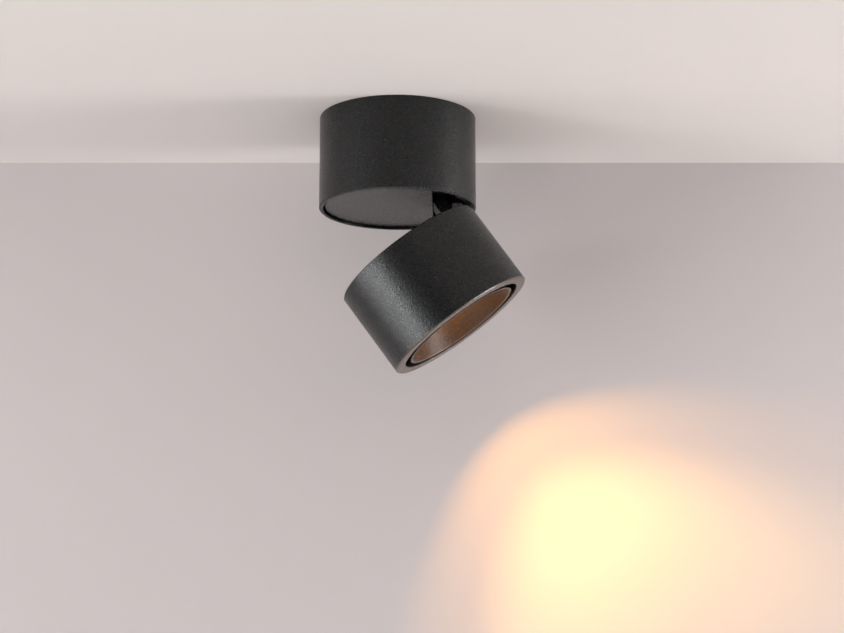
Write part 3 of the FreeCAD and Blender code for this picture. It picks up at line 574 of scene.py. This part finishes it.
def drive_cutter(tree, given):
    """The hexagon or the bar that cuts the socket or the slot."""
    radius, height = given["Head Radius"], given["Head Height"]
    depth = maths(tree, "MULTIPLY", height, 2 * SOCKET_DEPTH)
    hexagon = add_node(tree, "GeometryNodeMeshCylinder",
                       {"Vertices": 6, "Radius": given["Drive Radius"],
                        "Depth": depth}).outputs["Mesh"]
    bar_size = vector(tree, maths(tree, "MULTIPLY", radius, SLOT_LENGTH),
                      maths(tree, "MULTIPLY", radius, SLOT_WIDTH),
                      maths(tree, "MULTIPLY", height, 2 * SLOT_DEPTH))
    bar = add_node(tree, "GeometryNodeMeshCube", {"Size": bar_size}).outputs["Mesh"]
    cutter = add_node(tree, "GeometryNodeSwitch",
                      {"Switch": given["Slotted"], "False": hexagon, "True": bar},
                      input_type="GEOMETRY").outputs[0]
    return moved(tree, cutter, offset=vector(tree, 0.0, 0.0, height))


# %% [markdown]
# ## Its thread
#
# The thread is a cylinder too: each vertex is drawn in by a zigzag of its height less its angle,
# and the angle is what turns stacked rings into a helix. The shank reaches a hair into the head,
# so that the two overlap.

# %% Threaded shank
THREAD_SIDES = 16
THREAD_DEPTH = 0.15
RINGS_PER_TURN = 4.0
OVERLAP = 0.00002


def threaded_shank(tree, given):
    """The shank, hanging under the head's seat."""
    length, pitch = given["Shank Length"], given["Pitch"]
    rings = maths(tree, "CEIL", maths(tree, "MULTIPLY", maths(tree, "DIVIDE", length, pitch),
                                      RINGS_PER_TURN))
    rod = add_node(tree, "GeometryNodeMeshCylinder",
                   {"Vertices": THREAD_SIDES, "Side Segments": rings,
                    "Radius": given["Shank Radius"], "Depth": length}).outputs["Mesh"]
    place, parts = vertex_place(tree)
    turn = maths(tree, "DIVIDE", maths(tree, "ARCTAN2", parts["Y"], parts["X"]), 2 * math.pi)
    climb = maths(tree, "SUBTRACT", maths(tree, "DIVIDE", parts["Z"], pitch), turn)
    groove = maths(tree, "MULTIPLY", maths(tree, "PINGPONG", climb, 0.5), 2 * THREAD_DEPTH)
    drop = maths(tree, "ADD", maths(tree, "MULTIPLY", length, -0.5), OVERLAP)
    return drawn_in(tree, rod, place, maths(tree, "SUBTRACT", 1.0, groove), drop)


# %% [markdown]
# ## The whole screw
#
# The tree cuts the head, joins the shank to it and puts the screw on every point. Each one is
# turned by a random angle, as real screws are when they are tight, and a fixed seed gives the
# same angles every time.

# %% Screw tree
SPIN_SEED = 7


def screw_tree():
    """Head, socket and shank as one screw, put on every point at a random turn."""
    tree, given, result = new_tree("screw", SCREW_INPUTS)
    head = add_node(tree, "GeometryNodeMeshBoolean",
                    {"Mesh 1": knurled_head(tree, given), "Mesh 2": drive_cutter(tree, given)},
                    operation="DIFFERENCE").outputs[0]
    whole = add_node(tree, "GeometryNodeJoinGeometry", {"Geometry": head})
    fill(whole, {"Geometry": threaded_shank(tree, given)})
    spin = add_node(tree, "FunctionNodeRandomValue",
                    {"Min": 0.0, "Max": 2 * math.pi, "Seed": SPIN_SEED}, data_type="FLOAT")
    angle = [socket for socket in spin.outputs if socket.enabled][0]
    return finished(tree, result, given["Geometry"], whole.outputs[0], given["Finish"],
                    turn=vector(tree, 0.0, 0.0, angle))


screw = screw_tree()
print("screw tree with", len(screw.nodes), "nodes")

# %% [markdown]
# ## Every screw in its seat
#
# The table gives each kind of screw the places of its seats and its sizes in millimetres, as in
# the drawing of the lamp. Seats in the head are written in the closed head's own frame, with its
# back at zero, and its matrix turns them to the tilt that the photograph shows. Screws that are
# driven upwards are grown upside down by a half turn about X.

# %% Screw table
MM = 0.001
CAN_FRAME = Matrix()
DRIVEN_UP = Matrix.Rotation(math.pi, 4, "X")
DRIVE_SHARE = 0.55


def around(radius, seat, start=0):
    """Three seats evenly round the axis."""
    turns = [math.radians(start + 120 * step) for step in range(3)]
    return [(radius * math.cos(turn), radius * math.sin(turn), seat) for turn in turns]


SCREWS = [
    # node, body, frame, driven up, seats, (head radius and height, shank radius and length)
    ("bridge_screws", "canopy", CAN_FRAME, True, around(44, -34), (2.6, 2.2, 1.5, 10)),
    ("driver_screws", "canopy", CAN_FRAME, False, [(32, 20.75, -30), (-32, 20.75, -30)],
     (2.4, 1.8, 1.25, 4)),
    ("stem_screws", "rotor", CAN_FRAME, False, around(8.2, -52), (1.8, 1.4, 1, 4)),
    ("ear_screws", "rotor", CAN_FRAME, False, [(39.4, 3.2, -41), (39.4, -3.2, -41)],
     (2.5, 2, 1.5, 10)),
    ("shroud_screws", "head", HEAD_FRAME, True, [(36.2, 5.4, -3), (36.2, -5.4, -3)],
     (1.8, 1.3, 1, 5.4)),
    ("sink_screws", "head", HEAD_FRAME, False, [(-30, 0, -1.7), (15, 26, -1.7), (15, -26, -1.7)],
     (2.7, 1.6, 1.5, 9)),
    ("holder_screws", "head", HEAD_FRAME, True, [(17.5, 0, -21), (-17.5, 0, -21)],
     (2.6, 1.6, 1.5, 7)),
    ("ring_screws", "head", HEAD_FRAME, True, around(42.3, -51.7, 90), (2.1, 1.4, 1.25, 6.5)),
]


def screws(stand, upwards, seats, sizes, finish, choices=()):
    """The mesh of some equal screws, from seats and sizes in millimetres."""
    flip = -1 if upwards else 1
    points = [(x * MM, flip * y * MM, flip * z * MM) for x, y, z in seats]
    labels = ("Head Radius", "Head Height", "Shank Radius", "Shank Length")
    inputs = {label: size * MM for label, size in zip(labels, sizes)}
    inputs["Drive Radius"] = DRIVE_SHARE * sizes[0] * MM
    inputs["Finish"] = finish
    inputs.update(choices)
    mesh = grown(screw, points, inputs)
    mesh.transform(stand @ DRIVEN_UP if upwards else stand)
    return mesh


for node, body, stand, upwards, seats, sizes in SCREWS:
    fitted(node + "_cut", screws(stand, upwards, seats, sizes, oxide), body, "screw_steel", node)

# %% [markdown]
# ## Side screws and terminal screws
#
# Two kinds break the pattern. The can is held by two low, smooth headed screws that point at each
# other, so each is grown in its own frame and the two are joined. The terminal block has six
# brass screws with a slot.

# %% Side screws
import bmesh

SIDE_SIZES = (3.6, 0.9, 1.96, 6.5)
SIDE_DROP = 10
SIDE_SEAT = 49
SIDE_CHOICES = {"Knurl": 0.0, "Drive Radius": 1.2 * MM}


def merged(meshes):
    """Several meshes as one, with the first one's material."""
    together = bmesh.new()
    for mesh in meshes:
        together.from_mesh(mesh)
    result = meshes[0].copy()
    together.to_mesh(result)
    together.free()
    return result


side_pair = []
for side in (1, -1):
    stand = Matrix.Rotation(side * math.pi / 2, 4, "Y")
    seat = (side * SIDE_DROP, 0, SIDE_SEAT)
    side_pair.append(screws(stand, False, [seat], SIDE_SIZES, oxide, SIDE_CHOICES))
fitted("side_screws_cut", merged(side_pair), "canopy", "screw_steel", "side_screws")

# %% Terminal screws
TERMINAL_SIZES = (1.8, 2, 1.5, 1.5)
TERMINAL_LEVEL = -23.5
TERMINAL_SEATS = [(x, y, TERMINAL_LEVEL) for x in (-10, 0, 10) for y in (-29, -23)]
TERMINAL_CHOICES = {"Knurl": 0.0, "Slotted": True}

terminal_mesh = screws(CAN_FRAME, False, TERMINAL_SEATS, TERMINAL_SIZES, brass, TERMINAL_CHOICES)
fitted("terminal_screws_cut", terminal_mesh, "canopy", "steel", "terminal_screws")

# %% [markdown]
# ## The wave washer and the stem's thread
#
# A wave washer is a flat ring that goes up and down as it goes round, so it presses the swivel
# together like a spring. That is a rule, and a rule suits nodes: a rectangle swept round a circle,
# then lifted by the sine of three times the angle. The last turns of the stem's thread stand
# above the lock nut, and a small triangle swept along a spiral makes them.

# %% Wave washer
WASHER_INPUTS = [
    ("Geometry", "Geometry", None), ("Middle Radius", "Float", 0.0065), ("Width", "Float", 0.003),
    ("Thickness", "Float", 0.0003), ("Lift", "Float", 0.00015), ("Waves", "Int", 3),
    ("Finish", "Material", None)]
WASHER_STEPS = 96
WASHER_LEVEL = -0.0312


def washer_tree():
    """A flat ring, lifted in waves."""
    tree, given, result = new_tree("wave_washer", WASHER_INPUTS)
    ring = add_node(tree, "GeometryNodeCurvePrimitiveCircle",
                    {"Resolution": WASHER_STEPS, "Radius": given["Middle Radius"]}).outputs["Curve"]
    section = add_node(tree, "GeometryNodeCurvePrimitiveQuadrilateral",
                       {"Width": given["Width"], "Height": given["Thickness"]}).outputs[0]
    band = add_node(tree, "GeometryNodeCurveToMesh",
                    {"Curve": ring, "Profile Curve": section}).outputs[0]
    parts = vertex_place(tree)[1]
    angle = maths(tree, "ARCTAN2", parts["Y"], parts["X"])
    wave = maths(tree, "SINE", maths(tree, "MULTIPLY", angle, given["Waves"]))
    lift = maths(tree, "MULTIPLY", wave, given["Lift"])
    waved = moved(tree, band, offset=vector(tree, 0.0, 0.0, lift))
    return finished(tree, result, given["Geometry"], waved, given["Finish"])


washer_mesh = grown(washer_tree(), [(0, 0, WASHER_LEVEL)], {"Finish": zinc})
fitted("wave_washer_sprung", washer_mesh, "rotor", "steel", "wave_washer")

# %% Stem thread
THREAD_INPUTS = [
    ("Geometry", "Geometry", None), ("Radius", "Float", 0.005), ("Length", "Float", 0.0015),
    ("Turns", "Float", 3.0), ("Ridge", "Float", 0.0002), ("Finish", "Material", None)]
SPIRAL_STEPS = 32
STEM_THREAD_RADIUS = 0.00492
STEM_THREAD_LEVEL = -0.0257


def thread_tree():
    """A ridge with three sides that climbs round a stem."""
    tree, given, result = new_tree("stem_thread", THREAD_INPUTS)
    spiral = add_node(tree, "GeometryNodeCurveSpiral",
                      {"Resolution": SPIRAL_STEPS, "Rotations": given["Turns"],
                       "Start Radius": given["Radius"], "End Radius": given["Radius"],
                       "Height": given["Length"]}).outputs[0]
    section = add_node(tree, "GeometryNodeCurvePrimitiveCircle",
                       {"Resolution": 3, "Radius": given["Ridge"]}).outputs["Curve"]
    ridge = add_node(tree, "GeometryNodeCurveToMesh",
                     {"Curve": spiral, "Profile Curve": section, "Fill Caps": True}).outputs[0]
    return finished(tree, result, given["Geometry"], ridge, given["Finish"])


thread_mesh = grown(thread_tree(), [(0, 0, STEM_THREAD_LEVEL)],
                    {"Radius": STEM_THREAD_RADIUS, "Finish": cast})
fitted("stem_thread", thread_mesh, "rotor", "bare_aluminium")
print("stem thread with", len(thread_mesh.polygons), "faces")

# %% [markdown]
# ## The room
#
# The lamp hangs on a ceiling with a wall close behind it, so those two planes are the backdrop.
# They only show from the room's side: seen from behind they let the camera through, so the lamp
# can be looked at from above and from the back. The ceiling has a hole inside the can, as a
# real one has for its cable, and light from above it reaches the bracket and the driver. It lies
# a tenth of a millimetre above the can's top edge, so that the two share no plane. A pale floor
# lies 1.6 metres below and shines a little, as a floor in daylight passes light back up. The
# wall stands square to the camera, so all three are turned as much as the camera is.

# %% Plaster
PLASTER_PATCH = 0.15
PLASTER_SHADE = 0.975
PLASTER_ROUGHNESS = 0.9


def plaster(name, colour, glow=0.0):
    """Painted plaster that shows from its front only; glow is the daylight it passes on."""
    material, tree, shader = new_finish(name)
    patches = noise(tree, object_place(tree), PLASTER_PATCH, detail=3.0)
    fill(shader, {"Base Color": ramp(tree, patches, shade(colour, PLASTER_SHADE), shade(colour)),
                  "Roughness": PLASTER_ROUGHNESS, "Emission Color": shade(colour),
                  "Emission Strength": glow})
    behind = add_node(tree, "ShaderNodeNewGeometry").outputs["Backfacing"]
    through = add_node(tree, "ShaderNodeBsdfTransparent").outputs["BSDF"]
    one_sided = add_node(tree, "ShaderNodeMixShader",
                         {"Fac": behind, 1: shader.outputs["BSDF"], 2: through})
    fill(tree.nodes["Material Output"], {"Surface": one_sided.outputs["Shader"]})
    return material


ceiling_paint = plaster("ceiling_paint", (0.47, 0.443, 0.432))
wall_paint = plaster("wall_paint", (0.525, 0.487, 0.492))
floor_paint = plaster("floor_paint", (0.72, 0.71, 0.70), glow=0.7)
print("made", ceiling_paint.name, wall_paint.name, floor_paint.name)

# %% Ceiling, wall and floor
CAN_INNER = 0.0465
ROOM_HALF = 2.5
WALL_AT = 0.095
FLOOR_AT = -1.6
CEILING_AT = 0.0001
HOLE_STEPS = 64


def stage_mesh(name, points, faces, material):
    """A surface of the room, which is no part of the lamp."""
    mesh = bpy.data.meshes.new(name)
    mesh.from_pydata(points, [], faces)
    mesh.materials.append(material)
    made = bpy.data.objects.new(name, mesh)
    made.rotation_euler = (0, 0, math.radians(CAMERA_TURN))
    bpy.context.collection.objects.link(made)
    print(name, "faces", [round(part, 1) for part in mesh.polygons[0].normal])


def ceiling_with_hole():
    """A wide square, facing down, with a round hole inside the can."""
    points = []
    for ring, reach in ((0, CAN_INNER), (1, ROOM_HALF)):
        for step in range(HOLE_STEPS):
            turn = 2 * math.pi * step / HOLE_STEPS
            x, y = math.cos(turn), math.sin(turn)
            stretch = reach / max(abs(x), abs(y)) if ring else reach
            points.append((x * stretch, y * stretch, CEILING_AT))
    faces = []
    for step in range(HOLE_STEPS):
        following = (step + 1) % HOLE_STEPS
        faces.append((step, following, HOLE_STEPS + following, HOLE_STEPS + step))
    return points, faces


stage_mesh("ceiling", *ceiling_with_hole(), ceiling_paint)
stage_mesh(
    "wall",
    [(-ROOM_HALF, WALL_AT, FLOOR_AT), (ROOM_HALF, WALL_AT, FLOOR_AT),
     (ROOM_HALF, WALL_AT, CEILING_AT), (-ROOM_HALF, WALL_AT, CEILING_AT)],
    [(0, 1, 2, 3)], wall_paint)
stage_mesh(
    "floor",
    [(-ROOM_HALF, -ROOM_HALF, FLOOR_AT), (ROOM_HALF, -ROOM_HALF, FLOOR_AT),
     (ROOM_HALF, ROOM_HALF, FLOOR_AT), (-ROOM_HALF, ROOM_HALF, FLOOR_AT)],
    [(0, 1, 2, 3)], floor_paint)

# %% [markdown]
# ## Light
#
# Black paint shows its shape only by what it reflects. The photograph has a broad light on each
# side, a softer one from below, and almost nothing from the camera's side, so the middle of the
# can stays dark while its flanks turn grey. Area lamps do that: a window on each side, a strip
# that grazes the wall, and light that comes up from the floor. A small one above the ceiling
# reaches the inside of the can.

# %% Soft lamps
SOFT_LAMPS = [
    # name, place, what it looks at, width and height, watts, colour
    ("left_window", (-1.3, -0.7, -0.6), (0, 0, -0.1), 0.35, 0.8, 12, (1.0, 0.99, 0.98)),
    ("right_window", (1.4, -0.12, -0.4), (0.1, 0.0, -0.15), 0.35, 0.9, 23, (1.0, 0.98, 0.97)),
    ("wall_wash", (-1.4, -0.12, -0.7), (0, 0.0, -0.2), 0.35, 1.0, 5, (1.0, 0.98, 0.97)),
    ("floor_bounce", (0.0, -0.15, -1.5), (0, 0, 0), 2.2, 0.6, 5.2, (1.0, 0.98, 0.97)),
    ("attic_light", (0.0, -0.1, 0.6), (0, 0, 0), 0.3, 0.3, 0.5, (1, 1, 1)),
]


def put_lamp(name, data, place, aim):
    """Puts a lamp at a place and turns it along a direction."""
    made = bpy.data.objects.new(name, data)
    made.location = place
    made.rotation_euler = aim.to_track_quat("-Z", "Y").to_euler()
    bpy.context.collection.objects.link(made)
    return made


def soft_lamp(name, place, target, width, height, watts, colour):
    """A rectangle that glows towards its target."""
    data = bpy.data.lights.new(name, "AREA")
    data.shape = "RECTANGLE"
    data.size = width
    data.size_y = height
    data.energy = watts
    data.color = colour
    put_lamp(name, data, place, Vector(target) - Vector(place))


for row in SOFT_LAMPS:
    soft_lamp(*row)
print("soft lamps:", [row[0] for row in SOFT_LAMPS])

# %% [markdown]
# ## The lamp's own beam
#
# The spot starts a few millimetres in front of the gel, where the frame says that the light
# source is, and shines along the head's axis through the reflector's mouth. Its soft edge gives
# the pool on the wall its fade. It rides on the head, so the pool swings with the lamp.

# %% Beam
BEAM_COLOUR = (1.0, 0.56, 0.11)
BEAM_WATTS = 6.8
BEAM_SPREAD = math.radians(78)
BEAM_FADE = 0.62
BEAM_START = 0.004
BEAM_RADIUS = 0.004


def beam(place, aim):
    """The spot lamp on the head."""
    data = bpy.data.lights.new("beam", "SPOT")
    data.energy = BEAM_WATTS
    data.color = BEAM_COLOUR
    data.spot_size = BEAM_SPREAD
    data.spot_blend = BEAM_FADE
    data.shadow_soft_size = BEAM_RADIUS
    made = put_lamp("beam", data, place, aim)
    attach(made, "head")
    return made


chip_low, chip_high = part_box("led_chip")
spot = beam((chip_low + chip_high) / 2 + HEAD_AXIS * BEAM_START, HEAD_AXIS)
print("beam starts at", [round(part, 4) for part in spot.location])

# %% [markdown]
# ## The sky
#
# A low even sky fills the shadows. A sky has three jobs here, and light paths keep them apart. It
# lights the room with a low strength. The camera sees it as a pale backdrop where no wall is
# in the way. And glossy paint mirrors it bright at both sides and black in between, as if the
# room behind the camera were dark.

# %% Sky
SKY_STRENGTH = 0.26
SKY_COLOUR = (0.86, 0.85, 0.84, 1)
SIDES_START = 0.35
SIDES_FULL = 0.9
SIDES_SHINE = 1.2


def background(tree, colour, strength):
    values = {"Color": colour, "Strength": strength}
    return add_node(tree, "ShaderNodeBackground", values).outputs[0]


def chosen(tree, share, first, second):
    """A mix of two shaders."""
    return add_node(tree, "ShaderNodeMixShader", {"Fac": share, 1: first, 2: second}).outputs[0]


def studio_sky():
    """A sky that lights, backs and mirrors in three different ways."""
    world = bpy.data.worlds.new("sky")
    bpy.context.scene.world = world
    world.use_nodes = True
    tree = world.node_tree
    tree.nodes.clear()
    looking = add_node(tree, "ShaderNodeTexCoord").outputs["Generated"]
    sideways = maths(tree, "ABSOLUTE",
                     add_node(tree, "ShaderNodeSeparateXYZ", {0: looking}).outputs["X"])
    sides = add_node(tree, "ShaderNodeMapRange",
                     {"Value": sideways, "From Min": SIDES_START, "From Max": SIDES_FULL,
                      "To Min": 0.0, "To Max": SIDES_SHINE}).outputs[0]
    path = add_node(tree, "ShaderNodeLightPath").outputs
    glossy = maths(tree, "MAXIMUM", path["Is Glossy Ray"], path["Is Transmission Ray"])
    indirect = chosen(tree, glossy, background(tree, grey(1.0), SKY_STRENGTH),
                      background(tree, SKY_COLOUR, sides))
    whole = chosen(tree, path["Is Camera Ray"], indirect, background(tree, SKY_COLOUR, 1.0))
    add_node(tree, "ShaderNodeOutputWorld", {"Surface": whole})


studio_sky()
